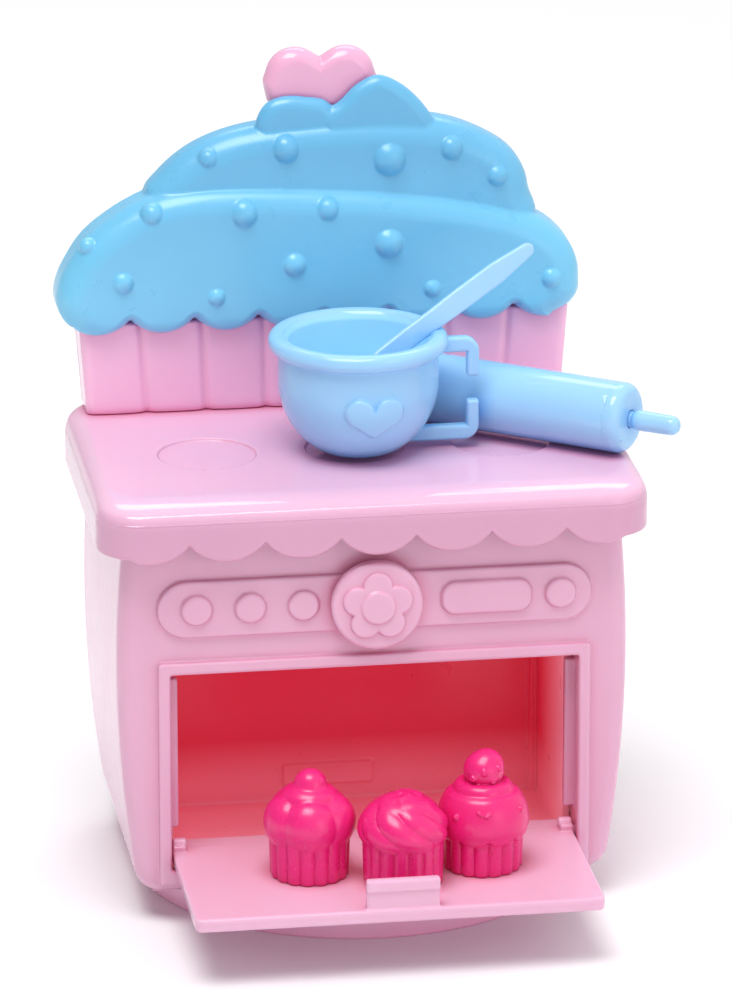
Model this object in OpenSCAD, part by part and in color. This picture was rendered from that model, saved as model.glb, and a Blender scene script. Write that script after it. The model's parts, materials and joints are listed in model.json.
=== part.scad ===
// Toy kitchen playset: a barrel-sided doll's oven on a round turning foot, a worktop
// with three hobs and a scalloped apron, a cupcake-shaped backsplash, a drop-down door
// and a set of loose accessories. Millimetres, +Z up, front towards -Y, origin at the
// centre of the turning foot's underside.

/* [Turning foot] */
// Radius of the round foot
foot_r = 40; // [34:1:44]
// Height of the foot disc
foot_h = 4.6; // [4.2:0.1:4.8]
// Radius of the pivot boss under the oven floor
pivot_r = 5; // [4:0.5:6]

/* [Oven body] */
// Half of the body's width at its widest height
body_half_w = 46; // [45:0.5:46.5]
// Height above the ground of the widest place
belly_z = 47; // [40:1:52]
// Radius of the long curve of the body's sides
side_curve_r = 245; // [220:5:320]
// Underside of the body above the ground
body_bottom_z = 5.4; // [5.4:0.1:5.6]
// Top edge of the body shells
body_top_z = 77.6; // [77:0.1:77.6]
// Front face of the body
body_front_y = -26.8; // [-26.8:0.1:-26.6]
// Back face of the body
body_back_y = 30.5; // [30:0.1:30.6]
// Where the front shell meets the rear shell
parting_y = 14; // [12:1:20]
// Wall thickness of the shells
wall = 2.2; // [1.8:0.1:2.2]

/* [Oven opening] */
// Half of the opening's width
opening_half_w = 36.75; // [36.7:0.05:36.9]
// Lower edge of the opening
opening_bottom_z = 10.2; // [9.8:0.1:10.2]
// Upper edge of the opening
opening_top_z = 47.5; // [47.5:0.1:48]
// Width of the raised frame around the opening
frame_w = 2.2; // [1.8:0.1:2.2]
// Height of the raised frame above the body's face
frame_raise = 1.2; // [0.8:0.1:1.3]
// Half of the width inside the oven box
cavity_half_w = 35.4; // [34.5:0.1:35.4]
// Inner face of the oven box's back wall
cavity_back_y = 8; // [4:1:9]

/* [Door] */
// Height of the hinge line
hinge_z = 12.6; // [12.6:0.1:12.7]
// Depth position of the hinge line
hinge_y = -24.4; // [-24.4:0.1:-24.2]
// Half of the door's width
door_half_w = 36.4; // [36.2:0.1:36.4]
// Distance from the hinge line to the door's free edge
door_reach = 34.3; // [33:0.1:34.3]
// Thickness of the door plate
door_t = 2.5; // [2.2:0.1:2.5]
// Radius of the hinge pins
hinge_pin_r = 1; // [0.8:0.1:1.1]
// Half of the width of the snap tab
tab_half_w = 6.55; // [5:0.5:8]

/* [Control panel] */
// Height of the panel's centre line
panel_z = 59.6; // [59:0.1:59.8]
// Half of the panel's length
panel_half_w = 39; // [38:0.5:40]
// Half of the panel's height
panel_half_h = 5.3; // [5:0.1:5.5]
// Height of the panel above the body's face
panel_raise = 0.9; // [0.6:0.1:0.9]
// Radius of the round button reliefs
button_r = 2.8; // [2:0.1:3]
// Radius of the flower dial
dial_r = 8.2; // [7.5:0.1:8.3]

/* [Worktop] */
// Half of the worktop's width
top_half_w = 49.4; // [49:0.1:50]
// Front face of the apron
top_front_y = -32; // [-33:0.5:-32]
// Back edge of the worktop
top_back_y = 33; // [33:0.5:34]
// Height of the worktop's flat surface
top_z = 80.1; // [80.1:0.1:80.5]
// Number of scallops along the apron
scallops = 7; // [5:1:9]
// Radius of the three hob recesses
hob_r = 8.8; // [7:0.1:10]
// Distance between hob centres
hob_pitch = 26.7; // [22:0.1:28]

/* [Backsplash] */
// Sideways offset of the cupcake backsplash
back_x = -1.7; // [-2:0.1:0]
// Front face of the pleated wrapper
wrapper_front_y = 22.1; // [22:0.1:22.5]
// Number of wrapper panels
wrapper_panels = 8; // [6:1:10]
// Front face of the lowest frosting tier
frosting_front_y = 19.5; // [19:0.5:20]

/* [Mixing cup] */
// Outer radius of the cup's bowl
cup_r = 14.4; // [13:0.1:14.6]
// Outer radius over the rolled rim
cup_rim_r = 16.1; // [15.5:0.1:16.2]
// Height of the handle's two arms
handle_bar = 2.8; // [2:0.1:2.8]

/* [Rolling pin] */
// Radius of the roller
roller_r = 6.4; // [5.4:0.1:6.4]
// Length of the roller
roller_len = 42; // [32:1:42]
// Radius of the handles
pin_handle_r = 2; // [1.6:0.05:2]
// Length of each handle
pin_handle_len = 9.6; // [6:0.1:9.8]
// Direction of the rolling pin across the worktop, from the X axis
pin_turn = -36.4; // [-38:0.1:-34]

/* [Hidden] */
$fn = 64;
eps = 0.01;
run_gap = 0.05;       // radial clearance of every turning fit
body_pink = "#e8aac8";
blue = "#78c4ec";
pale_blue = "#a8d4f2";
hot_pink = "#f02882";
deep_pink = "#d84672";

// Turning foot
web_z = 2.6;                          // underside of the foot's web between centre and rim
hub_r = 12;                           // solid centre of the foot, flat underneath
pit_z = 2.8;                          // pit in the foot's top for the oven floor's well
well_r = 8;                           // inside of the well
well_t = 1.6;
well_low_z = pit_z + 0.15;
well_floor_z = 4;
boss_top_z = well_floor_z + 0.1;      // the boss passes the well, so the washer runs free
washer_t = 0.8;
washer_r = 7.8;
pivot_hole_z = 0.9;                   // blind end of the pivot screw's hole
bearing_r = 27;
foot_chamfer = 1.4;
floor_t = 1.8;
floor_top_z = body_bottom_z + floor_t;

// Screws
screw_r = 1.1;
screw_hole_r = screw_r + run_gap;
post_r = 3.2;
case_post_z = 64;                     // upper pair, on the front shell
case_post_x = 36;
liner_post_z = 14;                    // lower pair, on the oven box
liner_post_x = 28;
inner_back_y = body_back_y - wall;
head_r = 2.8;
head_t = 1;

// Door, drawn open: its inner face is up
plate_top_z = 13.1;
plate_bottom_z = plate_top_z - door_t;
door_edge_y = hinge_y - door_reach;
step_y = hinge_y + 1;                 // behind here the plate is rebated
tail_y = hinge_y + 5;
tail_t = 1.3;
ear_r = 2.6;
ear_w = 2;
tab_x = 0.4;                          // the snap tab sits a little to the right
tab_top_z = 18.6;
pocket_y = -25.35;                    // front of the pocket for the closed door's tail
cheek_w = 2.2;
cheek_back_y = -20.6;

// Oven box
liner_t = 1.6;
liner_front_y = -19;
liner_floor_z = 8.6;
liner_top_z = 50;
block_low = [-11.8, 11.8];            // raised block low on the back wall, [x, z] of its corners
block_high = [4.8, 15.8];
block_raise = 0.6;

// Panel and dial
dial_back_y = -28;
dial_front_y = -30.6;
shaft_r = 2;
shaft_end_y = -22;
clip_y = body_front_y + wall + 0.3;   // front face of the retaining clip
button_x = [-32, -22.4, -12.9, 33.3];
button_raise = 0.9;                   // height of the buttons above the panel
oblong_x = [14.9, 25];                // centres of the oblong button's two ends
oblong_r = 3.1;

// Worktop
slab_t = 2.4;
skirt_t = 2.2;
shoulder_z = 76.6;                    // where the soft shoulder starts
top_corner_r = 8;                     // plan corners of the worktop
cusp_z = 72.9;
lobe_z = 69.7;
lobe_flat = 0.06;                     // how far each lobe is cut flat at its lowest point
scallop_span = 94;
pitch = scallop_span / scallops;
sagitta = cusp_z - lobe_z;
scallop_r = (pitch * pitch / 4 + sagitta * sagitta) / (2 * sagitta);
hob_y = -2;
hob_depth = 0.5;

// Backsplash
cover_y = 31;
cover_t = 1.6;
groove_w = 0.7;                       // pleat grooves of the wrapper
groove_depth = 0.5;
wrapper_top_z = 97.4;
base_half_w = 43.8;
rim_half_w = 45.6;
shell_t = 2.2;
back_screw_x = 25;
back_screw_z = 106;
// Tier circles as [x, z, radius]; each tier is the convex outline round its circles
tier_low = [[-37.5, 106.9, 13.9], [-30, 112.2, 10.4], [0, 111.5, 10.1], [29, 107, 10.4],
    [35, 103.2, 11.4], [-38.5, 102.5, 12.7]];
tier_mid = [[-17, 115.9, 17.2], [-22, 114.7, 14.4], [16, 114.1, 18.2], [20.6, 113.5, 15.2]];
mid_setback = 2.6;                    // the upper tier's face lies this far behind the lower one's
cover_inset = 1.2;                    // the rear cover sits inside the frosting's rounded edge
petals = [[-7, 132, 6.2], [8.1, 132.9, 8.5]];
petal_front_y = 23.7;
petal_t = 2.4;
// Raised drops on the frosting as [x, z, radius]
drops = [[-22.8, 127.6, 1.4], [-8.8, 129, 2], [10.1, 126.5, 2.6], [21.5, 128, 1.7],
    [29.9, 122.5, 1.5], [-33.4, 118.2, 1.6], [-16.8, 118, 2], [-1.5, 118.1, 1.6],
    [9.6, 111.4, 2.3], [-45, 112.4, 1.2], [-7.7, 108.1, 1.8], [-39, 106, 1.6],
    [-22, 102.6, 1.3], [17.6, 102.5, 1.3], [39.6, 103.5, 1.5]];
heart_x = -1.7;
heart_z = 141.1;
heart_lobe_r = 5.3;
heart_front_y = 26.3;
heart_t = 5.4;
peg_r = 1.5;
peg_y = 29;
peg_low_z = 130.8;

// Mixing cup
cup_x = 0.5;
cup_y = -3.6;
cup_wall = 1.8;
cup_centre_z = top_z + 13.2;          // centre of the bowl's round lower half
rim_z = 100.7;
rim_tube_r = 1.55;
handle_out_x = 22.4;
handle_top_z = 100.6;
handle_low_z = 81.3;
hook_len = 7.4;
hook_t = 2.3;                         // thickness of the hooks, front to back and at their ends
cup_gap = 0.1;                        // the cup stands this little above the worktop

// Spoon: a straight handle that leans on the rim
spoon_tip = [33, 2, 115.2];
spoon_bowl = [-2.1, -9.1, 94.45];
spoon_run = spoon_tip - spoon_bowl;
spoon_len = norm(spoon_run);
spoon_turn = atan2(spoon_run[1], spoon_run[0]);
spoon_rise = asin(spoon_run[2] / spoon_len);
spoon_roll = 80;                      // the blade lies nearly on its edge
spoon_t = 1.2;
spoon_end_r = 1.3;
// Half widths of the blade as [distance from the bowl, half width]
spoon_half = [[3, 0.9], [15, 1.5], [26, 2.05], [34, 2], [spoon_len - 1.3, 1.3]];

// Rolling pin
pin_mid = [31.6, -0.8, top_z + roller_r + cup_gap];
axle_r = 1.5;
cap_len = 3;
bore_r = axle_r + run_gap;

// Cupcakes stand on the open door
cupcake_gap = 0.05;
cupcake_base_z = plate_top_z + cupcake_gap;
peak_pos = [-13.6, -38.9];
rosette_pos = [2, -45.6];
strawberry_pos = [17.5, -39.8];
cupcake_base_r = 7.1;
flutes = 16;
flute_r = 0.9;

// ---- Shared shapes ----

// A prism along +Y from y0 to y1 of a shape drawn in X and Z
module along_y(y0, y1) {
    translate([0, y1, 0]) rotate([90, 0, 0]) linear_extrude(y1 - y0) children();
}

// A cylinder along +Y from y0 to y1, centred on x and z
module rod_y(x, z, y0, y1, r) {
    translate([x, y0, z]) rotate([-90, 0, 0]) cylinder(r = r, h = y1 - y0);
}

// A box between two corners
module span(low, high) {
    translate(low) cube(high - low);
}

// Barrel outline of the body in X and Z, drawn inside the outer face by inset
module barrel(inset, z0, z1) {
    intersection() {
        translate([-60, z0]) square([120, z1 - z0]);
        translate([side_curve_r - body_half_w, belly_z]) circle(r = side_curve_r - inset, $fn = 256);
        translate([body_half_w - side_curve_r, belly_z]) circle(r = side_curve_r - inset, $fn = 256);
    }
}

// Rounded rectangle in X and Y between two corners
module rounded(low, high, r) {
    translate([low[0] + r, low[1]]) square([high[0] - low[0] - 2 * r, high[1] - low[1]]);
    translate([low[0], low[1] + r]) square([high[0] - low[0], high[1] - low[1] - 2 * r]);
    for (x = [low[0] + r, high[0] - r], y = [low[1] + r, high[1] - r])
        translate([x, y]) circle(r = r);
}

// Convex outline round a list of [x, z, radius] circles, each smaller by inset
module round_outline(circles, inset) {
    hull()
        for (c = circles) translate([c[0], c[1]]) circle(r = c[2] - inset, $fn = 40);
}

// The part of a frosting tier's outline above height z0
module tier(circles, inset, z0) {
    intersection() {
        round_outline(circles, inset);
        translate([-60, z0]) square([120, 60]);
    }
}

// A screw along +Y: shank from y0 to the head, head ending at y1
module screw_y(x, z, y0, y1) {
    rod_y(x, z, y0, y1 - head_t, screw_r);
    difference() {
        rod_y(x, z, y1 - head_t, y1, head_r);
        span([x - 1.8, y1 - 0.6, z - 0.35], [x + 1.8, y1 + 1, z + 0.35]);
        span([x - 0.35, y1 - 0.6, z - 1.8], [x + 0.35, y1 + 1, z + 1.8]);
    }
}

// ---- Turning foot ----

module turntable_base() {
    color(body_pink) difference() {
        union() {
            cylinder(r = foot_r, h = foot_h - foot_chamfer, $fn = 128);
            translate([0, 0, foot_h - foot_chamfer])
                cylinder(r1 = foot_r, r2 = foot_r - foot_chamfer, h = foot_chamfer, $fn = 128);
            // raised ring that the oven floor turns on
            difference() {
                cylinder(r = bearing_r + 1.5, h = body_bottom_z - 0.1);
                translate([0, 0, foot_h]) cylinder(r = bearing_r - 1.5, h = 2);
            }
        }
        translate([0, 0, pit_z]) difference() {
            cylinder(r = well_r + well_t + 0.5, h = 10);
            translate([0, 0, -1]) cylinder(r = pivot_r, h = boss_top_z - pit_z + 1);
        }
        translate([0, 0, pivot_hole_z]) cylinder(r = screw_hole_r, h = 10);
        translate([0, 0, -1]) difference() {
            cylinder(r = foot_r - 3.5, h = web_z);
            cylinder(r = hub_r, h = web_z);
        }
    }
}

module turntable_washer() {
    color("silver") translate([0, 0, boss_top_z]) difference() {
        cylinder(r = washer_r, h = washer_t);
        translate([0, 0, -1]) cylinder(r = screw_hole_r, h = 3);
    }
}

module turntable_screw() {
    head_z = boss_top_z + washer_t;
    color("silver") {
        translate([0, 0, pivot_hole_z + 0.05]) cylinder(r = screw_r, h = head_z - pivot_hole_z);
        difference() {
            translate([0, 0, head_z]) cylinder(r = 3, h = 1.2);
            span([-2, -0.4, head_z + 0.6], [2, 0.4, head_z + 2]);
            span([-0.4, -2, head_z + 0.6], [0.4, 2, head_z + 2]);
        }
    }
}

// Bottom plate of the body, with a well that hangs round the pivot
module oven_floor() {
    color(body_pink) difference() {
        union() {
            along_y(body_front_y + wall + 0.1, inner_back_y - 0.1)
                barrel(wall + 0.3, body_bottom_z, floor_top_z);
            translate([0, 0, well_low_z])
                cylinder(r = well_r + well_t, h = body_bottom_z - well_low_z + 0.5);
        }
        translate([0, 0, well_floor_z]) cylinder(r = well_r, h = 10);
        translate([0, 0, -1]) cylinder(r = pivot_r + run_gap, h = 10);
    }
}

// ---- Oven body ----

module panel_relief() {
    along_y(body_front_y - panel_raise, body_front_y + eps) {
        translate([-panel_half_w + panel_half_h, panel_z - panel_half_h])
            square([2 * (panel_half_w - panel_half_h), 2 * panel_half_h]);
        for (s = [-1, 1])
            translate([s * (panel_half_w - panel_half_h), panel_z]) circle(r = panel_half_h);
    }
    button_y = body_front_y - panel_raise - button_raise;
    for (x = button_x) rod_y(x, panel_z, button_y, body_front_y, button_r);
    along_y(button_y, body_front_y) {
        translate([oblong_x[0], panel_z - oblong_r]) square([oblong_x[1] - oblong_x[0], 2 * oblong_r]);
        for (x = oblong_x) translate([x, panel_z]) circle(r = oblong_r);
    }
}

module opening_shape() {
    translate([-opening_half_w, opening_bottom_z])
        square([2 * opening_half_w, opening_top_z - opening_bottom_z]);
}

module front_shell() {
    cheek_x = opening_half_w + 0.05;
    bore_end_x = cheek_x + cheek_w + 1;
    color(body_pink) difference() {
        union() {
            difference() {
                along_y(body_front_y, parting_y) barrel(0, body_bottom_z, body_top_z);
                along_y(body_front_y + wall, parting_y + 1) barrel(wall, 0, 90);
            }
            along_y(body_front_y - frame_raise, body_front_y + eps)
                translate([-opening_half_w - frame_w, opening_bottom_z - 2.7])
                    square([2 * (opening_half_w + frame_w),
                        opening_top_z - opening_bottom_z + 2.7 + frame_w]);
            for (s = [-1, 1]) {
                // side cheeks that carry the hinge pins
                scale([s, 1, 1]) span([cheek_x, body_front_y, floor_top_z + 0.1],
                    [cheek_x + cheek_w, cheek_back_y, opening_top_z + frame_w]);
                // screw posts
                rod_y(s * case_post_x, case_post_z, body_front_y + wall - eps, inner_back_y - 0.1, post_r);
            }
            panel_relief();
        }
        along_y(-40, pocket_y + 2) opening_shape();
        // pocket behind the sill for the closed door's tail
        span([-cheek_x, pocket_y, floor_top_z], [cheek_x, cheek_back_y, opening_bottom_z + 1]);
        translate([-bore_end_x, hinge_y, hinge_z]) rotate([0, 90, 0])
            cylinder(r = hinge_pin_r + run_gap, h = 2 * bore_end_x);
        rod_y(0, panel_z, -40, 0, shaft_r + run_gap);
        for (s = [-1, 1])
            rod_y(s * case_post_x, case_post_z, inner_back_y - 11, inner_back_y + 1, screw_hole_r);
    }
    // door stops down each side of the opening
    color(body_pink) for (s = [-1, 1]) scale([s, 1, 1])
        span([cavity_half_w - 0.4, -23.6, 17], [cheek_x + eps, -21.8, 45.4]);
}

module rear_shell() {
    color(body_pink) difference() {
        along_y(parting_y, body_back_y) barrel(0, body_bottom_z, body_top_z);
        along_y(parting_y - 1, inner_back_y) barrel(wall, 0, 90);
        for (s = [-1, 1], p = [[case_post_x, case_post_z], [liner_post_x, liner_post_z]]) {
            rod_y(s * p[0], p[1], 20, 40, screw_r + 0.4);
            rod_y(s * p[0], p[1], body_back_y - head_t, 40, head_r + 0.3);
        }
    }
}

module oven_liner() {
    outer_w = cavity_half_w + liner_t;
    color(deep_pink) difference() {
        union() {
            span([-outer_w, liner_front_y, floor_top_z], [outer_w, cavity_back_y + liner_t, liner_top_z]);
            for (s = [-1, 1])
                rod_y(s * liner_post_x, liner_post_z, cavity_back_y + 1, inner_back_y - 0.1, post_r);
        }
        span([-cavity_half_w, liner_front_y - 1, liner_floor_z],
            [cavity_half_w, cavity_back_y, liner_top_z - 1.4]);
        for (s = [-1, 1])
            rod_y(s * liner_post_x, liner_post_z, inner_back_y - 11, inner_back_y + 1, screw_hole_r);
    }
    color(deep_pink) span([block_low[0], cavity_back_y - block_raise, block_low[1]],
        [block_high[0], cavity_back_y + eps, block_high[1]]);
}

module case_screws() {
    color("silver")
        for (s = [-1, 1], p = [[case_post_x, case_post_z], [liner_post_x, liner_post_z]])
            screw_y(s * p[0], p[1], inner_back_y - 9, body_back_y);
}

// ---- Worktop ----

module worktop_plan(inset, r) {
    rounded([-top_half_w + inset, top_front_y + inset], [top_half_w - inset, top_back_y - inset], r);
}

// One band of the soft shoulder, from inset i0 at height z0 to inset i1 at height z1
module shoulder_band(i0, z0, i1, z1) {
    corner_x = top_half_w - top_corner_r;
    low_y = top_front_y + top_corner_r;
    high_y = top_back_y - top_corner_r;
    along_y(low_y, high_y)
        polygon([[-top_half_w + i0, z0], [top_half_w - i0, z0],
            [top_half_w - i1, z1], [-top_half_w + i1, z1]]);
    translate([-corner_x, 0, 0]) rotate([90, 0, 90]) linear_extrude(2 * corner_x)
        polygon([[top_front_y + i0, z0], [top_back_y - i0, z0],
            [top_back_y - i1, z1], [top_front_y + i1, z1]]);
    for (x = [-corner_x, corner_x], y = [low_y, high_y])
        translate([x, y, z0]) cylinder(r1 = top_corner_r - i0, r2 = top_corner_r - i1, h = z1 - z0);
}

// Sheet used to cut the scallops: everything under the row of lobes
module under_scallops() {
    end_x = scallop_span / 2 - pitch / 2;
    difference() {
        translate([-end_x, 60]) square([2 * end_x, cusp_z - 60]);
        for (i = [0 : scallops - 1])
            translate([-end_x + i * pitch, lobe_z - lobe_flat + scallop_r]) circle(r = scallop_r);
    }
}

module worktop() {
    color(body_pink) difference() {
        union() {
            translate([0, 0, lobe_z]) linear_extrude(shoulder_z - lobe_z) worktop_plan(0, top_corner_r);
            // soft shoulder from the apron up to the flat top
            shoulder_band(0, shoulder_z, 1.2, 78.9);
            shoulder_band(1.2, 78.9, 3.6, top_z);
        }
        translate([0, 0, 60]) linear_extrude(top_z - slab_t - 60)
            worktop_plan(skirt_t, top_corner_r - skirt_t);
        along_y(top_front_y - 1, top_front_y + skirt_t + 1) under_scallops();
        for (i = [-1 : 1]) translate([i * hob_pitch, hob_y, top_z - hob_depth]) cylinder(r = hob_r, h = 3);
    }
}

// ---- Backsplash ----

module wrapper_outline(inset, z1) {
    polygon([[back_x - base_half_w + inset, top_z], [back_x + base_half_w - inset, top_z],
        [back_x + rim_half_w - inset, z1], [back_x - rim_half_w + inset, z1]]);
}

module wrapper_panel() {
    color("#f2b4d4") difference() {
        along_y(wrapper_front_y, cover_y) wrapper_outline(0, wrapper_top_z);
        along_y(wrapper_front_y + shell_t, cover_y + 1)
            translate([0, 2]) wrapper_outline(shell_t, wrapper_top_z);
        // pleat grooves that fan out upwards
        for (i = [1 : wrapper_panels - 1]) {
            f = 2 * i / wrapper_panels - 1;
            low_x = back_x + f * base_half_w;
            high_x = back_x + f * rim_half_w;
            along_y(wrapper_front_y - 1, wrapper_front_y + groove_depth)
                polygon([[low_x - groove_w / 2, top_z - 1], [low_x + groove_w / 2, top_z - 1],
                    [high_x + groove_w / 2, wrapper_top_z + 1],
                    [high_x - groove_w / 2, wrapper_top_z + 1]]);
        }
    }
}

module frosting_shell() {
    first_lobe_x = -43.4;
    lobes = 8;
    lobe_pitch = 11.75;
    color(blue) difference() {
        union() {
            along_y(frosting_front_y, cover_y) tier(tier_low, 0, wrapper_top_z + 0.2);
            along_y(frosting_front_y + mid_setback, cover_y) tier(tier_mid, 0, wrapper_top_z + 0.2);
            // dripping lower edge in front of the wrapper
            along_y(frosting_front_y, wrapper_front_y - 0.2)
                for (i = [0 : lobes - 1])
                    translate([first_lobe_x + i * lobe_pitch, 103.1]) circle(r = 7.8);
            for (c = petals) rod_y(c[0], c[1], petal_front_y, petal_front_y + petal_t, c[2]);
            // drops: spheres sunk so that they stand out by 0.6 of their radius
            for (d = drops)
                translate([d[0], frosting_front_y + (d[1] > 122 ? mid_setback : 0) + 0.55 * d[2], d[1]])
                    sphere(r = 1.15 * d[2], $fn = 24);
        }
        along_y(frosting_front_y + shell_t, cover_y + 1) tier(tier_low, shell_t, wrapper_top_z);
        along_y(frosting_front_y + mid_setback + shell_t, cover_y + 1)
            tier(tier_mid, shell_t, wrapper_top_z);
        translate([heart_x, peg_y, 120]) cylinder(r = peg_r + run_gap, h = 30);
    }
    // screw posts behind the face
    color(blue) for (s = [-1, 1]) difference() {
        x = back_x + s * back_screw_x;
        rod_y(x, back_screw_z, frosting_front_y + shell_t - eps, cover_y - 0.1, post_r);
        rod_y(x, back_screw_z, cover_y - 8, cover_y + 1, screw_hole_r);
    }
}

module heart_topper() {
    tip_z = heart_z - 6.1;
    color("#ecb0d2") {
        along_y(heart_front_y, heart_front_y + heart_t) {
            for (s = [-1, 1])
                translate([heart_x + s * 4.65, heart_z]) circle(r = heart_lobe_r);
            polygon([[heart_x, heart_z + 3], [heart_x - 9.1, heart_z - 2.9], [heart_x - 2, tip_z],
                [heart_x + 2, tip_z], [heart_x + 9.1, heart_z - 2.9]]);
        }
        translate([heart_x, peg_y, peg_low_z]) cylinder(r = peg_r, h = tip_z - peg_low_z + eps);
    }
}

module backsplash_cover() {
    color(body_pink) difference() {
        along_y(cover_y, cover_y + cover_t) {
            wrapper_outline(0, wrapper_top_z + 0.1);
            tier(tier_low, cover_inset, wrapper_top_z);
            tier(tier_mid, cover_inset, wrapper_top_z);
        }
        for (s = [-1, 1]) {
            rod_y(back_x + s * back_screw_x, back_screw_z, 20, 40, screw_r + 0.3);
            rod_y(back_x + s * back_screw_x, back_screw_z, cover_y + cover_t - head_t, 40, head_r + 0.3);
        }
    }
}

module backsplash_screws() {
    color("silver")
        for (s = [-1, 1])
            screw_y(back_x + s * back_screw_x, back_screw_z, cover_y - 7, cover_y + cover_t);
}

// ---- Door ----

module oven_door() {
    field_x = 27;
    field_low_y = door_edge_y + 7;
    field_high_y = door_edge_y + 27;
    color(body_pink) {
        difference() {
            span([-door_half_w, door_edge_y, plate_bottom_z], [door_half_w, step_y, plate_top_z]);
            // shallow window field on the outer face
            span([-field_x, field_low_y, plate_bottom_z - 1], [field_x, field_high_y, plate_bottom_z + 0.5]);
        }
        span([-door_half_w, step_y - eps, plate_top_z - tail_t], [door_half_w, tail_y, plate_top_z]);
        for (s = [-1, 1]) scale([s, 1, 1]) {
            intersection() {
                translate([door_half_w - ear_w, hinge_y, hinge_z]) rotate([0, 90, 0])
                    cylinder(r = ear_r, h = ear_w);
                span([0, -40, plate_top_z - eps], [50, 0, 20]);
            }
            translate([door_half_w - 1, hinge_y, hinge_z]) rotate([0, 90, 0])
                cylinder(r = hinge_pin_r, h = 3);
        }
        // snap tab on the free edge, with its thicker lip
        translate([tab_x, door_edge_y, 0]) {
            span([-tab_half_w, 0.5, plate_top_z - eps], [tab_half_w, 1.9, tab_top_z]);
            span([-tab_half_w, 0.15, 16.3], [tab_half_w, 0.6, tab_top_z - 0.2]);
        }
    }
}

// ---- Dial ----

module control_dial() {
    petal_c = 3.6;
    color(body_pink) {
        rod_y(0, panel_z, dial_front_y + 0.6, dial_back_y, dial_r);
        rod_y(0, panel_z, dial_front_y, dial_back_y, dial_r - 0.6);
        for (i = [0 : 4])
            rod_y(petal_c * sin(i * 72), panel_z + petal_c * cos(i * 72),
                dial_front_y - 0.7, dial_back_y, 2.7);
        rod_y(0, panel_z, dial_front_y - 1.2, dial_back_y, 3.1);
        rod_y(0, panel_z, dial_back_y - eps, clip_y - 0.15, shaft_r);
        rod_y(0, panel_z, clip_y - 0.2, shaft_end_y, shaft_r - 0.6);
    }
}

module dial_clip() {
    color("silver") difference() {
        rod_y(0, panel_z, clip_y, clip_y + 1, 4);
        rod_y(0, panel_z, clip_y - 1, clip_y + 2, shaft_r - 0.6);
    }
}

// ---- Mixing cup and spoon ----

module cup_section(r, z0) {
    intersection() {
        union() {
            translate([0, cup_centre_z]) circle(r = r);
            translate([0, cup_centre_z]) square([r, rim_z - cup_centre_z]);
        }
        translate([0, z0]) square([r, rim_z - z0]);
    }
}

module cup_heart() {
    front_y = cup_y - cup_r - 0.5;
    lobe_r = 2.7;
    intersection() {
        along_y(front_y - 2, cup_y - 6) translate([cup_x + 0.9, 90.6]) {
            for (s = [-1, 1]) translate([s * lobe_r, 0.8]) circle(r = lobe_r);
            polygon([[0, 1.4], [-4.9, -0.8], [0, -5.1], [4.9, -0.8]]);
        }
        translate([cup_x, cup_y, cup_centre_z]) sphere(r = cup_r + 0.8);
    }
}

module mixing_cup() {
    hook_y0 = cup_y - hook_t / 2;
    hook_y1 = cup_y + hook_t / 2;
    color(pale_blue) difference() {
        union() {
            translate([cup_x, cup_y, 0]) rotate_extrude() {
                cup_section(cup_r, top_z + cup_gap);
                translate([cup_rim_r - rim_tube_r, rim_z]) circle(r = rim_tube_r);
            }
            cup_heart();
            // two hooks that face each other form the handle
            span([cup_x + cup_r - 2, hook_y0, handle_top_z - handle_bar],
                [handle_out_x, hook_y1, handle_top_z]);
            span([handle_out_x - hook_t, hook_y0, handle_top_z - hook_len],
                [handle_out_x, hook_y1, handle_top_z]);
            span([cup_x + 7, hook_y0, handle_low_z],
                [handle_out_x, hook_y1, handle_low_z + handle_bar]);
            span([handle_out_x - hook_t, hook_y0, handle_low_z],
                [handle_out_x, hook_y1, handle_low_z + hook_len]);
        }
        translate([cup_x, cup_y, 0]) rotate_extrude() {
            cup_section(cup_r - cup_wall, top_z + 1.6);
            translate([0, rim_z - 1]) square([cup_r - cup_wall, 6]);
        }
    }
}

module spoon() {
    color(pale_blue) translate(spoon_bowl) rotate([0, 0, spoon_turn]) rotate([0, -spoon_rise, 0])
        rotate([spoon_roll, 0, 0]) {
            translate([0, 0, -spoon_t / 2]) linear_extrude(spoon_t)
                polygon([for (p = spoon_half) p,
                    for (i = [len(spoon_half) - 1 : -1 : 0]) [spoon_half[i][0], -spoon_half[i][1]]]);
            translate([spoon_len - spoon_end_r, 0, -spoon_t / 2]) cylinder(r = spoon_end_r, h = spoon_t);
            difference() {
                translate([0, 0, -spoon_t / 2]) cylinder(r = 4, h = spoon_t);
                translate([0, 0, 4.8]) sphere(r = 5);
            }
        }
}

// ---- Rolling pin ----

// Places its children so that +X runs along the rolling pin from the middle of the roller
module on_pin() {
    translate(pin_mid) rotate([0, 0, pin_turn]) rotate([0, 90, 0]) children();
}

module rolling_pin_axle() {
    half = roller_len / 2;
    color(pale_blue) on_pin() {
        translate([0, 0, -half - 0.3]) cylinder(r = axle_r, h = roller_len + 0.6);
        for (s = [0, 1]) mirror([0, 0, s]) {
            translate([0, 0, half + 0.2])
                cylinder(r = pin_handle_r, h = pin_handle_len - 0.2 - pin_handle_r);
            translate([0, 0, half + pin_handle_len - pin_handle_r]) sphere(r = pin_handle_r);
        }
    }
}

module rolling_pin_roller() {
    half = roller_len / 2;
    color(pale_blue) on_pin() difference() {
        union() {
            translate([0, 0, -half + 1]) cylinder(r = roller_r, h = roller_len - cap_len - 1);
            translate([0, 0, -half]) cylinder(r1 = roller_r - 1, r2 = roller_r, h = 1);
        }
        translate([0, 0, -half - 1]) cylinder(r = bore_r, h = roller_len + 2);
    }
}

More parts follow.
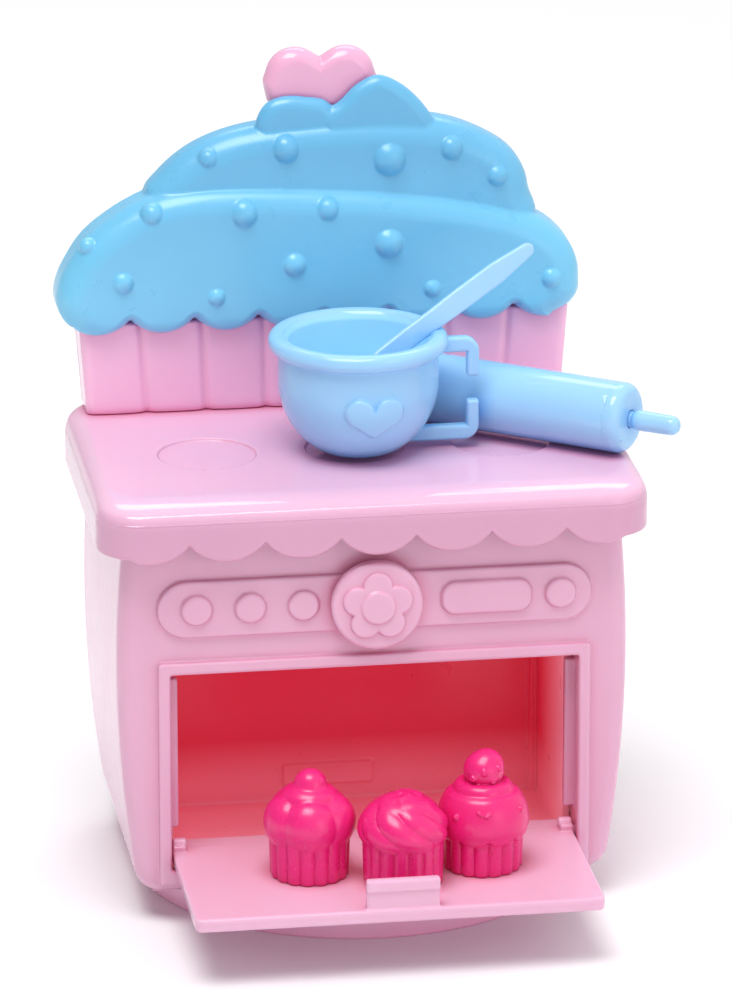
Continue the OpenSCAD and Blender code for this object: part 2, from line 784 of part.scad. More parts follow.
module rolling_pin_end_cap() {
    half = roller_len / 2;
    color(pale_blue) on_pin() difference() {
        union() {
            translate([0, 0, half - cap_len]) cylinder(r = roller_r, h = cap_len - 1.2);
            translate([0, 0, half - 1.2]) cylinder(r1 = roller_r, r2 = roller_r - 1.2, h = 1.2);
        }
        translate([0, 0, -half - 1]) cylinder(r = bore_r, h = roller_len + 2);
    }
}

// ---- Cupcakes ----

// Fluted paper case, widening upwards
module cupcake_case(h) {
    difference() {
        cylinder(r1 = cupcake_base_r - 0.5, r2 = cupcake_base_r + 0.3, h = h);
        for (i = [0 : flutes - 1]) rotate([0, 0, i * 360 / flutes])
            translate([cupcake_base_r + 0.55, 0, -1]) cylinder(r = flute_r, h = h - 0.5);
    }
}

module cupcake_peak() {
    color(hot_pink) translate([peak_pos[0], peak_pos[1], cupcake_base_z]) {
        cupcake_case(8.5);
        for (i = [0 : 4]) rotate([0, 0, i * 72 - 90]) translate([4.1, 0, 10]) sphere(r = 4.2, $fn = 32);
        translate([0, 0, 7]) cylinder(r = 6.4, h = 6.6);
        translate([0, 0, 13.6]) cylinder(r1 = 6.2, r2 = 4.4, h = 2.2);
        translate([0, 0, 15.7]) cylinder(r1 = 4.2, r2 = 2.7, h = 2.2);
        translate([0, 0, 17.3]) sphere(r = 2.5, $fn = 32);
    }
}

module cupcake_rosette() {
    color(hot_pink) translate([rosette_pos[0], rosette_pos[1], cupcake_base_z]) {
        cupcake_case(8.5);
        for (i = [0 : 6]) rotate([0, 0, i * 360 / 7]) translate([4.5, 0, 9.7]) sphere(r = 3.6, $fn = 32);
        translate([0, 0, 7.5]) cylinder(r = 6.2, h = 5.6);
        translate([0, 0, 13.1]) cylinder(r1 = 6, r2 = 4.6, h = 2.6);
        for (i = [0 : 4]) rotate([0, 0, i * 72]) translate([2.6, 0, 15.3]) sphere(r = 1.9, $fn = 24);
    }
}

module cupcake_strawberry() {
    color(hot_pink) translate([strawberry_pos[0], strawberry_pos[1], cupcake_base_z]) {
        cupcake_case(8);
        translate([0, 0, 6.5]) cylinder(r1 = 7.5, r2 = 8.2, h = 3.5);
        translate([0, 0, 10]) cylinder(r1 = 8.2, r2 = 6.4, h = 4.4);
        translate([0, 0, 14.6]) rotate_extrude() translate([4, 0]) circle(r = 1.7);
        translate([0, 0, 13]) cylinder(r = 4, h = 3.2);
        translate([0.1, 0, 18]) sphere(r = 3.6, $fn = 32);
        translate([0.8, 0.2, 19.3]) sphere(r = 2.3, $fn = 32);
    }
}

turntable_base();
turntable_washer();
turntable_screw();
oven_floor();
front_shell();
rear_shell();
oven_liner();
worktop();
wrapper_panel();
frosting_shell();
heart_topper();
backsplash_cover();
case_screws();
backsplash_screws();
oven_door();
control_dial();
dial_clip();
mixing_cup();
spoon();
rolling_pin_axle();
rolling_pin_roller();
rolling_pin_end_cap();
cupcake_peak();
cupcake_rosette();
cupcake_strawberry();
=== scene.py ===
"""Toy kitchen: rounded, moulded-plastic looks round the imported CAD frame.

Every visible moulding is meshed from a signed distance function written in millimetres, so
edges carry real moulding radii, and each one replaces its CAD node on the same body.
"""

import json
import math

import bpy
import numpy as np
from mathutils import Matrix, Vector

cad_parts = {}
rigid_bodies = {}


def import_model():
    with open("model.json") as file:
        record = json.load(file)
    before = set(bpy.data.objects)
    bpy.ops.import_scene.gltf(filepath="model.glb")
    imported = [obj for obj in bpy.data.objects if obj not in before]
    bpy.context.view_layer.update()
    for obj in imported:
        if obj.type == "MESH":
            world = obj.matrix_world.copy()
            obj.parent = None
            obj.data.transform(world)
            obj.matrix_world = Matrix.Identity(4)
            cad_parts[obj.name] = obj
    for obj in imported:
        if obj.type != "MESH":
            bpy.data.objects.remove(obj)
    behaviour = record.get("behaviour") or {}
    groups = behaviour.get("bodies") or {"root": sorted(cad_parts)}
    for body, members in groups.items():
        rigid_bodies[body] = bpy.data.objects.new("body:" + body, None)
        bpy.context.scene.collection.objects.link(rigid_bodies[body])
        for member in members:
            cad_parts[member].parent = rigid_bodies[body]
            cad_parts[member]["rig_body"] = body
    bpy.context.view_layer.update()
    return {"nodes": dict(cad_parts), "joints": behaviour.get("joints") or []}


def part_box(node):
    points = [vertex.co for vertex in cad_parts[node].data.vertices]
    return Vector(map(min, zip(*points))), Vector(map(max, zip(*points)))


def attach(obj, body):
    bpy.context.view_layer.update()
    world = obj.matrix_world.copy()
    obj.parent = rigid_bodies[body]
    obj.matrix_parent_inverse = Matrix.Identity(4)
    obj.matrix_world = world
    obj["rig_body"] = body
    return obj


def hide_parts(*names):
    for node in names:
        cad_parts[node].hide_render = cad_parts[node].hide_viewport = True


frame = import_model()

MM = 0.001
COARSE = 1


def cad(node):
    """Lowest and highest corner of a CAD node, in millimetres."""
    low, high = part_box(node)
    return np.array(low) / MM, np.array(high) / MM


# ---- Distance functions ----

def meet(a, b, r):
    """Intersection of a and b with its edge rounded to radius r."""
    return np.minimum(np.maximum(a, b), -r) + np.hypot(np.maximum(a + r, 0), np.maximum(b + r, 0))


def join(a, b, r):
    """Union of a and b with a fillet of radius r between them."""
    return np.maximum(np.minimum(a, b), r) - np.hypot(np.maximum(r - a, 0), np.maximum(r - b, 0))


def cut(a, b, r):
    """a without b, with the edge rounded to radius r."""
    return meet(a, -b, r)


def slab(u, low, high):
    return np.abs(u - (low + high) / 2) - (high - low) / 2


def disc(u, v, cu, cv, r):
    return np.hypot(u - cu, v - cv) - r


def rect(u, v, low, high, r):
    """Rounded rectangle between two corners."""
    a = np.abs(u - (low[0] + high[0]) / 2) - (high[0] - low[0]) / 2 + r
    b = np.abs(v - (low[1] + high[1]) / 2) - (high[1] - low[1]) / 2 + r
    return np.minimum(np.maximum(a, b), 0) + np.hypot(np.maximum(a, 0), np.maximum(b, 0)) - r


def block(x, y, z, low, high, r):
    """Box between two corners with every edge rounded."""
    a = rect(x, y, low[:2], high[:2], r)
    return meet(a, slab(z, low[2], high[2]), r)


def rod(x, y, z, start, end, r):
    """Capsule from start to end."""
    s, e = np.array(start, float), np.array(end, float)
    d = e - s
    t = np.clip(((x - s[0]) * d[0] + (y - s[1]) * d[1] + (z - s[2]) * d[2]) / (d @ d), 0, 1)
    return np.sqrt((x - s[0] - t * d[0]) ** 2 + (y - s[1] - t * d[1]) ** 2 + (z - s[2] - t * d[2]) ** 2) - r


def ball(x, y, z, c, r):
    return np.sqrt((x - c[0]) ** 2 + (y - c[1]) ** 2 + (z - c[2]) ** 2) - r


def spline(points, steps=6):
    """Closed smooth curve through the points, as a polygon."""
    p = np.array(points, float)
    out = []
    for i in range(len(p)):
        a, b, c, d = p[i - 1], p[i], p[(i + 1) % len(p)], p[(i + 2) % len(p)]
        for t in np.arange(steps) / steps:
            out.append(b + 0.5 * t * (c - a + t * (2 * a - 5 * b + 4 * c - d + t * (3 * (b - c) + d - a))))
    return np.array(out)


def polygon(u, v, points):
    """Signed distance to a closed polygon."""
    u, v = np.broadcast_arrays(u, v)
    best = np.full(u.shape, 1e9)
    inside = np.zeros(u.shape, bool)
    for a, b in zip(points, np.roll(points, -1, 0)):
        d = b - a
        t = np.clip(((u - a[0]) * d[0] + (v - a[1]) * d[1]) / (d @ d), 0, 1)
        best = np.minimum(best, (u - a[0] - t * d[0]) ** 2 + (v - a[1] - t * d[1]) ** 2)
        crosses = (a[1] <= v) != (b[1] <= v)
        with np.errstate(divide="ignore", invalid="ignore"):
            side = u < a[0] + (v - a[1]) * d[0] / d[1]
        inside ^= crosses & side
    return np.where(inside, -1, 1) * np.sqrt(best)


# ---- Meshing ----

def slopes(f, p, e):
    g = np.empty_like(p)
    for i in range(3):
        step = np.zeros(3)
        step[i] = e
        g[:, i] = (f(*(p + step).T) - f(*(p - step).T)) / (2 * e)
    return g


def settle(f, p, step, rounds):
    """Moves points onto the surface f = 0, never further than half a cell."""
    for _ in range(rounds):
        g = slopes(f, p, 0.02)
        move = -(f(*p.T) / np.maximum((g * g).sum(1), 0.05))[:, None] * g
        size = np.linalg.norm(move, axis=1, keepdims=True)
        p = p + move * np.minimum(1, 0.5 * step / np.maximum(size, 1e-9))
    return p


def surface_net(f, low, high, step):
    """Vertices and quads of the surface f = 0 between two corners."""
    axes = [np.arange(a - 1.37 * step, b + 1.9 * step, step) for a, b in zip(low, high)]
    shape = [len(a) for a in axes]
    v = np.broadcast_to(f(*np.meshgrid(*axes, indexing="ij", sparse=True)), shape).astype(np.float32)
    inside = v < 0
    corners = sum(inside[i:shape[0] - 1 + i, j:shape[1] - 1 + j, k:shape[2] - 1 + k].astype(np.int8)
                  for i in (0, 1) for j in (0, 1) for k in (0, 1))
    cells = np.argwhere((corners > 0) & (corners < 8))
    number = np.full([n - 1 for n in shape], -1)
    number[tuple(cells.T)] = np.arange(len(cells))
    total, count = np.zeros((len(cells), 3)), np.zeros(len(cells))
    for axis in range(3):
        for m in range(4):
            near = cells.copy()
            near[:, (axis + 1) % 3] += m & 1
            near[:, (axis + 2) % 3] += m >> 1
            far = near.copy()
            far[:, axis] += 1
            a, b = v[tuple(near.T)], v[tuple(far.T)]
            crossed = (a < 0) != (b < 0)
            t = np.where(crossed, a / np.where(crossed, a - b, 1), 0)
            at = near.astype(float)
            at[:, axis] += t
            total += np.where(crossed[:, None], at, 0)
            count += crossed
    points = total / count[:, None] * step + np.array([a[0] for a in axes])
    quads = []
    for axis in range(3):
        b, c = (axis + 1) % 3, (axis + 2) % 3
        first = np.take(inside, range(shape[axis] - 1), axis)
        second = np.take(inside, range(1, shape[axis]), axis)
        at = np.argwhere(first != second)
        at = at[(at[:, b] > 0) & (at[:, c] > 0) & (at[:, b] < shape[b] - 1) & (at[:, c] < shape[c] - 1)]
        quad = []
        for db, dc in ((0, 0), (1, 0), (1, 1), (0, 1)):
            q = at.copy()
            q[:, b] -= db
            q[:, c] -= dc
            quad.append(number[tuple(q.T)])
        quad = np.stack(quad, 1)
        outward = first[tuple(at.T)]
        quads.append(np.where(outward[:, None], quad, quad[:, ::-1]))
    return points, np.concatenate(quads)


def moulding(name, f, node, material, step=0.45, keep=0.3, grow=0.3, body=None):
    """Meshes f over the node's CAD box and puts it in the node's place."""
    step *= COARSE
    low, high = cad(node)
    points, quads = surface_net(f, low - grow, high + grow, step)
    points = settle(f, points, step, 3)
    mesh = bpy.data.meshes.new(name)
    mesh.from_pydata(points, [], quads)
    obj = bpy.data.objects.new(name, mesh)
    bpy.context.scene.collection.objects.link(obj)
    if keep < 1:
        thin = obj.modifiers.new("thin", "DECIMATE")
        thin.ratio = keep
        graph = bpy.context.evaluated_depsgraph_get()
        obj.data = bpy.data.meshes.new_from_object(obj.evaluated_get(graph))
        obj.modifiers.clear()
        bpy.data.meshes.remove(mesh)
        mesh = obj.data
        mesh.name = name
        points = np.empty(len(mesh.vertices) * 3)
        mesh.vertices.foreach_get("co", points)
        points = settle(f, points.reshape(-1, 3), step, 2)
    normals = slopes(f, points, 0.08)
    normals /= np.maximum(np.linalg.norm(normals, axis=1, keepdims=True), 1e-9)
    mesh.vertices.foreach_set("co", (points * MM).ravel())
    mesh.polygons.foreach_set("use_smooth", np.ones(len(mesh.polygons), bool))
    mesh.update()
    mesh.normals_split_custom_set_from_vertices(normals.tolist())
    mesh.materials.append(material)
    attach(obj, body or frame["nodes"][node]["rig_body"])
    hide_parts(node)
    print(f"{name}: {len(mesh.polygons)} faces")
    return obj


# ---- Materials ----

def linear(r, g, b):
    """8-bit sRGB to linear colour."""
    return tuple(c / 12.92 if c <= 0.04045 else ((c + 0.055) / 1.055) ** 2.4
                 for c in (r / 255, g / 255, b / 255)) + (1,)


class Nodes:
    """Short forms for building a node tree."""

    def __init__(self, name):
        self.material = bpy.data.materials.new(name)
        self.material.use_nodes = True
        self.tree = self.material.node_tree
        self.shader = self.tree.nodes["Principled BSDF"]
        self.place = self.add("ShaderNodeTexCoord").outputs["Object"]

    def add(self, kind, links=(), **values):
        node = self.tree.nodes.new(kind)
        for key, value in values.items():
            setattr(node, key, value)
        for socket, source in dict(links).items():
            if isinstance(source, bpy.types.NodeSocket):
                self.tree.links.new(source, node.inputs[socket])
            else:
                node.inputs[socket].default_value = source
        return node

    def noise(self, scale, detail=3, rough=0.5):
        return self.add("ShaderNodeTexNoise", {"Vector": self.place, "Scale": scale, "Detail": detail,
                                               "Roughness": rough}).outputs["Fac"]

    def ramp(self, value, low, high, to_low=0.0, to_high=1.0):
        return self.add("ShaderNodeMapRange", {"Value": value, "From Min": low, "From Max": high,
                                               "To Min": to_low, "To Max": to_high}).outputs["Result"]

    def mix(self, amount, a, b):
        node = self.add("ShaderNodeMix", data_type="RGBA")
        for socket, source in ((0, amount), (6, a), (7, b)):
            if isinstance(source, bpy.types.NodeSocket):
                self.tree.links.new(source, node.inputs[socket])
            else:
                node.inputs[socket].default_value = source
        return node.outputs[2]

    def link(self, source, socket):
        self.tree.links.new(source, self.shader.inputs[socket])


def plastic(name, colour, flow, shade_and_speck, rough=0.17, glow=0.22, reach=0.003, painted_height_shading=None, line=None,
            painted_glow=0.0, painted_inside_light=None, front=None):
    """Glossy moulded plastic: slow colour variation from the melt flow, painted shade (a deeper colour
    mixed in by ambient occlusion in creases and between close walls), a fine mould texture and uneven
    polish. Lengths are in metres.

    depth is (low z, high z, colour at high z), painted light or shade by height, and front is (near y, far
    y, colour at near y), painted light near an opening.
    line is the height of a fine moulded ridge. carried is a painted glow: emission that stands in for the
    light a thin wall lets through.
    tube is (centre, radius, colour) of a round-bottomed cup's inside, painted in a lighter colour that
    glows."""
    n = Nodes(name)
    base = n.mix(n.ramp(n.noise(22, 2), 0.35, 0.65), colour, flow)
    place = n.add("ShaderNodeSeparateXYZ", {"Vector": n.place}).outputs
    # painted light and shade by height: the colour runs to another one towards the top
    if painted_height_shading:
        low_z, high_z, shading_at_top = painted_height_shading
        base = n.mix(n.ramp(place["Z"], low_z, high_z), base, shading_at_top)
    # painted light near an opening: the colour runs lighter towards the front
    if front:
        near_y, far_y, near = front
        base = n.mix(n.ramp(place["Y"], near_y, far_y), near, base)
    # painted shade: ambient occlusion mixes the shade colour into creases and between close walls
    open_sky = n.add("ShaderNodeAmbientOcclusion", {"Distance": reach}, samples=2).outputs["AO"]
    base = n.mix(n.ramp(open_sky, 0.3, 0.85, 0.6, 0.0), base, shade_and_speck)
    # random specks in the same colour, the plastic's own
    speck = n.ramp(n.noise(1300, 1), 0.83, 0.87, 0.0, 0.15)
    base = n.mix(speck, base, shade_and_speck)
    polish = n.ramp(n.noise(140, 4, 0.6), 0.3, 0.75, rough - 0.03, rough + 0.05)
    # painted light: a cup's inside is painted in a lighter colour and made to glow
    if painted_inside_light:
        centre, radius, inner = painted_inside_light
        at = n.add("ShaderNodeVectorMath", {0: n.place, 1: centre}, operation="SUBTRACT").outputs[0]
        at = n.add("ShaderNodeVectorMath", {0: at, 1: (1, 1, 0)}, operation="MINIMUM").outputs[0]
        away = n.add("ShaderNodeVectorMath", {0: at}, operation="LENGTH").outputs["Value"]
        within = n.ramp(away, radius - 0.0003, radius + 0.0003, 1.0, 0.0)
        base = n.mix(within, base, inner)
        n.link(n.ramp(within, 0, 1, painted_glow, PAINTED_GLOW_INSIDE), "Emission Strength")
    else:
        # painted glow: emission standing in for light through a thin wall
        n.shader.inputs["Emission Strength"].default_value = painted_glow
    n.link(base, "Base Color")
    n.link(base, "Emission Color")
    n.link(polish, "Roughness")
    normal = n.add("ShaderNodeBump", {"Height": n.noise(1600, 2), "Distance": 0.00001,
                                      "Strength": 0.2}).outputs["Normal"]
    normal = n.add("ShaderNodeBump", {"Height": n.noise(40, 1, 0.3), "Distance": 0.0002, "Strength": 0.12,
                                      "Normal": normal}).outputs["Normal"]
    if line:
        off = n.add("ShaderNodeMath", {0: place["Z"], 1: line}, operation="SUBTRACT").outputs[0]
        off = n.add("ShaderNodeMath", {0: off}, operation="ABSOLUTE").outputs[0]
        ridge = n.ramp(off, 0.00005, 0.0002, 1.0, 0.0)
        normal = n.add("ShaderNodeBump", {"Height": ridge, "Distance": 0.0001, "Strength": 0.8,
                                          "Normal": normal}).outputs["Normal"]
    n.link(normal, "Normal")
    n.shader.inputs["IOR"].default_value = 1.5
    n.shader.inputs["Subsurface Weight"].default_value = glow
    n.shader.inputs["Subsurface Radius"].default_value = (1.0, 0.4, 0.5)
    n.shader.inputs["Subsurface Scale"].default_value = 0.0025
    n.shader.inputs["Coat Weight"].default_value = 0.1
    n.shader.inputs["Coat Roughness"].default_value = 0.06
    return n.material


def steel(name):
    n = Nodes(name)
    n.link(n.mix(n.noise(300, 4), linear(168, 170, 174), linear(205, 206, 208)), "Base Color")
    n.link(n.ramp(n.noise(900, 3), 0.3, 0.7, 0.22, 0.4), "Roughness")
    n.shader.inputs["Metallic"].default_value = 1
    return n.material


PAINTED_GLOW_INSIDE = 0.16                     # painted glow: emission painted on a cup's inside, for light that comes through its wall
CUP_BOWL = (0.0005, -0.0036, 0.0933)      # centre of the cup's round bottom
# painted shade: the third colour of each plastic below is mixed into its creases by ambient occlusion, and
# also colours its specks
CRIMSON_SHADE_AND_SPECK = linear(228, 96, 140)
PINK = plastic("body_plastic", linear(226, 174, 202), linear(224, 169, 198), CRIMSON_SHADE_AND_SPECK)
# painted light and shade: the worktop's apron is a darker copy of the body pink and its flat top is painted
# lighter
WORKTOP_LIT_AND_SHADED = plastic("worktop_painted_light_and_shade", linear(213, 160, 189), linear(210, 156, 186), CRIMSON_SHADE_AND_SPECK, rough=0.11,
              line=0.077, painted_height_shading=(0.0762, 0.0790, linear(229, 183, 210)))
# painted glow: the wrapper glows faintly, for light through its thin wall
WRAP = plastic("wrapper_plastic", linear(247, 194, 223), linear(244, 187, 219), linear(236, 130, 180),
               painted_glow=0.04)
HEART = plastic("heart_plastic", linear(230, 174, 204), linear(227, 169, 200), linear(226, 120, 170))
DOOR = plastic("door_plastic", linear(232, 184, 211), linear(230, 179, 207), CRIMSON_SHADE_AND_SPECK)
# painted light: the foot is a lighter copy of the body pink with a painted glow, lifting it out of the shade
# under the door
FOOT_LIT_PINK = plastic("foot_painted_light", linear(235, 182, 209), linear(232, 176, 205), linear(236, 150, 185),
               painted_glow=0.10)
# painted shade and light: the oven's inside is a deeper, shaded copy of the body pink, darker crimson higher
# up, lighter near the opening, with a painted glow
CAVITY_SHADED_PINK = plastic("cavity_painted_shade", linear(252, 154, 178), linear(250, 148, 174), linear(214, 44, 72),
                 rough=0.3, reach=0.005, painted_glow=0.17, painted_height_shading=(0.006, 0.021, linear(222, 52, 80)),
                 front=(-0.019, 0.003, linear(252, 176, 194)))
# painted shade: the frosting is painted darker towards its upper tiers
BLUE = plastic("frosting_plastic", linear(124, 203, 238), linear(120, 200, 236), linear(70, 155, 215),
               rough=0.29, painted_height_shading=(0.102, 0.130, linear(103, 178, 218)))
# painted light: the cup's inside is painted lighter and glows, and its walls glow faintly
CUP = plastic("cup_plastic", linear(153, 202, 240), linear(148, 199, 238), linear(80, 160, 232), rough=0.19,
              glow=0.25, painted_glow=0.05, painted_inside_light=(CUP_BOWL, 0.0130, linear(160, 214, 240)))
# painted glow: the pin glows faintly, for light through its wall
PIN = plastic("pin_plastic", linear(158, 205, 241), linear(152, 201, 239), linear(70, 155, 230), rough=0.16,
              glow=0.25, painted_glow=0.04)
HOT = plastic("cupcake_plastic", linear(234, 38, 126), linear(230, 32, 120), linear(212, 16, 96), rough=0.27,
              reach=0.002)
STEEL = steel("zinc_steel")

# ---- Turning foot ----

foot_high = cad("turntable_base")[1]
foot_r = foot_high[0]


def foot(x, y, z):
    r = np.hypot(x, y)
    top = foot_high[2] - 0.7
    shape = meet(meet(r - foot_r, z - top, 1.3), -z, 0.4)
    ring = meet(np.abs(r - 27) - 1.5, slab(z, top - 1, foot_high[2]), 0.3)
    shape = join(shape, ring, 0.3)
    # hollow underside between the rim and the flat centre
    shape = cut(shape, meet(np.abs(r - 24.25) - 12.25, z - 1.6, 0.3), 0.3)
    # pit for the oven floor's well, round the pivot boss with its screw hole
    shape = cut(shape, meet(np.abs(r - 7.6) - 2.6, 2.8 - z, 0.2), 0.2)
    shape = cut(shape, meet(r - 6, 4.1 - z, 0.1), 0.1)
    return cut(shape, meet(r - 1.15, 0.9 - z, 0.05), 0.1)


moulding("foot_disc", foot, "turntable_base", FOOT_LIT_PINK, 0.5)

# ---- Oven body ----

shell_low, shell_high = cad("front_shell")
rear_high = cad("rear_shell")[1]
liner_low, liner_high = cad("oven_liner")
door_low, door_high = cad("oven_door")
dial_low, dial_high = cad("control_dial")

button_rise = 1.8                         # the buttons stand in front of the face
face_y = shell_low[1] + button_rise
parting_y = shell_high[1]
back_y = rear_high[1]
body_half_w = shell_high[0]
bottom_z, top_z = shell_low[2], shell_high[2]
belly_z = 47.0
side_r = 245.0
wall = 2.2
corner_r, inner_corner_r = 3.2, 1.2
upper_screw, lower_screw = (36, 64), (28, 14)   # x and z of the case screws on each side
open_half_w, open_low, open_high = 36.75, 10.2, 47.5
hinge_y, hinge_z = -24.4, 12.6
tab_x = 0.4
panel_z = (dial_low[2] + dial_high[2]) / 2
panel_half_w, panel_r = 39, 5.3
button_r = 2.8
button_places = (-32, -22.4, -12.9, 33.3)


def barrel(x, z, inset):
    """Side view outline of the body: two long arcs."""
    a = np.hypot(np.abs(x) + side_r - body_half_w, z - belly_z) - side_r
    return a + inset


def body_solid(x, y, z, inset, corner):
    sides = meet(barrel(x, z, inset), slab(z, bottom_z + inset - 60 * (inset > 0), top_z + 60 * (inset > 0)),
                 max(corner + 0.8, 0.3))
    return meet(sides, slab(y, face_y + inset, back_y - inset), corner)


def body_shell(x, y, z):
    """The hollow body before it is parted into a front and a rear shell."""
    return cut(body_solid(x, y, z, 0, corner_r), body_solid(x, y, z, wall, inner_corner_r), 0.2)


def front(x, y, z):
    shape = body_shell(x, y, z)
    ring = meet(rect(x, z, (-open_half_w - 2.2, open_low - 2.7), (open_half_w + 2.2, open_high + 2.2), 0.5),
                slab(y, face_y - 1.2, face_y + 1), 0.45)
    shape = join(shape, ring, 0.35)
    panel = rect(x, z, (-panel_half_w, panel_z - panel_r), (panel_half_w, panel_z + panel_r), panel_r)
    shape = join(shape, meet(panel, slab(y, face_y - 0.9, face_y + 1), 0.5), 0.3)
    raised = slab(y, face_y - button_rise, face_y)
    for cx in button_places:
        shape = join(shape, meet(disc(x, z, cx, panel_z, button_r), raised, 0.7), 0.3)
    oblong = rect(x, z, (11.8, panel_z - 3.1), (28.1, panel_z + 3.1), 2.6)
    shape = join(shape, meet(oblong, raised, 0.7), 0.3)
    # cheeks inside the opening carry the door's pins; posts behind the face take the case screws
    ax = np.abs(x)
    cheek = block(ax, y, z, (open_half_w + 0.05, face_y + 0.6, 7.3), (39, -20.6, open_high + 2.2), 0.3)
    shape = join(shape, cheek, 0.2)
    for s in (-1, 1):
        post = disc(x, z, s * upper_screw[0], upper_screw[1], 3.2)
        shape = np.minimum(shape, meet(post, slab(y, face_y + 1, 29.2), 0.2))
    shape = cut(shape, meet(rect(x, z, (-open_half_w, open_low), (open_half_w, open_high), 0.3),
                            y + 23.3, 0.1), 0.35)
    # pocket behind the sill for the door's tail, hole for the dial's shaft, side stops, pin bores
    pocket = block(x, y, z, (-open_half_w - 0.05, -25.35, 7.2), (open_half_w + 0.05, -15, open_low + 1), 0.3)
    shape = cut(shape, pocket, 0.2)
    shape = cut(shape, disc(x, z, 0, panel_z, 2.05), 0.1)
    stop = block(ax, y, z, (35, -23.6, 17), (37.5, -21.8, 45.4), 0.35)
    shape = join(shape, stop, 0.2)
    shape = cut(shape, meet(disc(y, z, hinge_y, hinge_z, 1.05), ax - 39.5, 0.1), 0.1)
    return meet(shape, y - parting_y + 0.04, 0.22)


moulding("body_front", front, "front_shell", PINK, 0.5)


def rear(x, y, z):
    shape = body_shell(x, y, z)
    ax = np.abs(x)
    for place in (upper_screw, lower_screw):
        shape = cut(shape, meet(disc(ax, z, *place, 3.1), back_y - 1 - y, 0.1), 0.25)
        shape = cut(shape, disc(ax, z, *place, 1.5), 0.1)
    return meet(shape, parting_y + 0.04 - y, 0.22)


moulding("body_rear", rear, "rear_shell", PINK, 0.5)

box_wall = 1.6
cavity_half_w = liner_high[0] - box_wall
cavity_back_y = 8.0


def liner(x, y, z):
    outer = cavity_half_w + box_wall
    shape = block(x, y, z, (-outer, liner_low[1], 7.2), (outer, cavity_back_y + box_wall, 50), 0.4)
    ax = np.abs(x)
    post = meet(disc(ax, z, *lower_screw, 3.2), slab(y, cavity_back_y, liner_high[1]), 0.2)
    shape = join(shape, post, 0.2)
    room = rect(x, z, (-cavity_half_w, 8.6), (cavity_half_w, 48.6), 0.8)
    shape = cut(shape, meet(room, slab(y, liner_low[1] - 20, cavity_back_y), 0.6), 0.3)
    # low pad on the back wall, and a post in each back corner
    pad = block(x, y, z, (-11.8, cavity_back_y - 0.6, 11.8), (4.8, cavity_back_y + 0.5, 15.8), 0.3)
    shape = join(shape, pad, 0.5)
    post_low = (cavity_half_w - 1.4, cavity_back_y - 1.5, 8)
    post_high = (cavity_half_w + 1, cavity_back_y + 1, 49)
    return join(shape, block(ax, y, z, post_low, post_high, 0.3), 0.2)


moulding("oven_box", liner, "oven_liner", CAVITY_SHADED_PINK, 0.5)

# ---- Worktop ----

work_low, work_high = cad("worktop")
flat_low, flat_high = (-45.6, -24.2), (45.6, 33.0)
plan_r, flat_r = 8, 6                     # plan corners of the rim and of the flat top
shoulder_drop = 3.0
hob_y = -2.0
hob_pitch = 26.7
hob_r = 8.8
scallop_pitch = 94 / 7
scallop_r = 8.63
skirt_z = 70.7
cusp_z = 72.9                             # the lobes run together above this height


def worktop(x, y, z):
    side = rect(x, y, work_low[:2], work_high[:2], plan_r)
    flat = rect(x, y, flat_low, flat_high, flat_r)
    t = np.clip(flat / np.maximum(flat - side, 0.01), 0, 1)
    top = (z - work_high[2] + shoulder_drop * (1 - np.sqrt(np.maximum(1 - t ** 2.2, 0)))) * 0.8
    shape = meet(side, top, 1.0)
    room = rect(x, y, work_low[:2] + wall, work_high[:2] - wall, plan_r - wall)
    room = meet(room, z - (work_high[2] - 2.4), 0.8)
    shape = cut(shape, room, 0.3)
    # front apron: seven lobes; the outer two run into the straight side skirts
    from_lobe = (x + scallop_pitch / 2) % scallop_pitch - scallop_pitch / 2
    lobe = disc(from_lobe, z, 0, work_low[2] + scallop_r, scallop_r)
    outer_lobe, inner_lobe = np.minimum(lobe, skirt_z - z), np.minimum(lobe, cusp_z - z)
    lobe = np.where(np.abs(x) > 3 * scallop_pitch, outer_lobe, inner_lobe)
    shape = meet(shape, np.where(y < -29, lobe, skirt_z - z), 0.55)
    for cx in (-hob_pitch, 0, hob_pitch):
        dish = meet(disc(x, y, cx, hob_y, hob_r), work_high[2] - 0.5 - z, 0.25)
        shape = cut(shape, dish, 0.3)
    return shape


moulding("worktop_cover", worktop, "worktop", WORKTOP_LIT_AND_SHADED, 0.33, keep=0.25)

# ---- Backsplash ----

wrap_low, wrap_high = cad("wrapper_panel")
frost_high = cad("frosting_shell")[1]
heart_low, heart_high = cad("heart_topper")
cover_low, cover_high = cad("backsplash_cover")
wrap_x = (wrap_low[0] + wrap_high[0]) / 2
wrap_base, wrap_rim = 43.8, 45.1


def wrapper(x, y, z):
    rise = (z - wrap_low[2]) / (wrap_high[2] - wrap_low[2])
    half = wrap_base + (wrap_rim - wrap_base) * rise
    u = (x - wrap_x) / half
    sides = (np.abs(u) - 1) * half
    shape = meet(sides, slab(y, wrap_low[1], wrap_high[1] + 3), 1.6)
    shape = meet(shape, slab(z, wrap_low[2], wrap_high[2]), 0.4)
    # eight pleats with soft grooves between them, rounded in at the foot
    phase = (u * 4) % 1
    edge = np.minimum(phase, 1 - phase) * half / 4
    groove = 0.55 * np.exp(-(edge / 0.8) ** 2) + 0.3 * (1 - np.sin(np.pi * phase))
    tuck = 0.6 * np.clip(1 - (z - wrap_low[2]) / 1.6, 0, 1) ** 2
    shape = meet(shape, wrap_low[1] - y + groove + tuck, 0.6)
    shape = cut(shape, meet(sides + 2.2, wrap_low[1] + 2.4 - y, 0.5), 0.2)
    return meet(shape, y - wrap_high[1] + 0.02, 0.1)


moulding("wrapper_pleats", wrapper, "wrapper_panel", WRAP, 0.42)

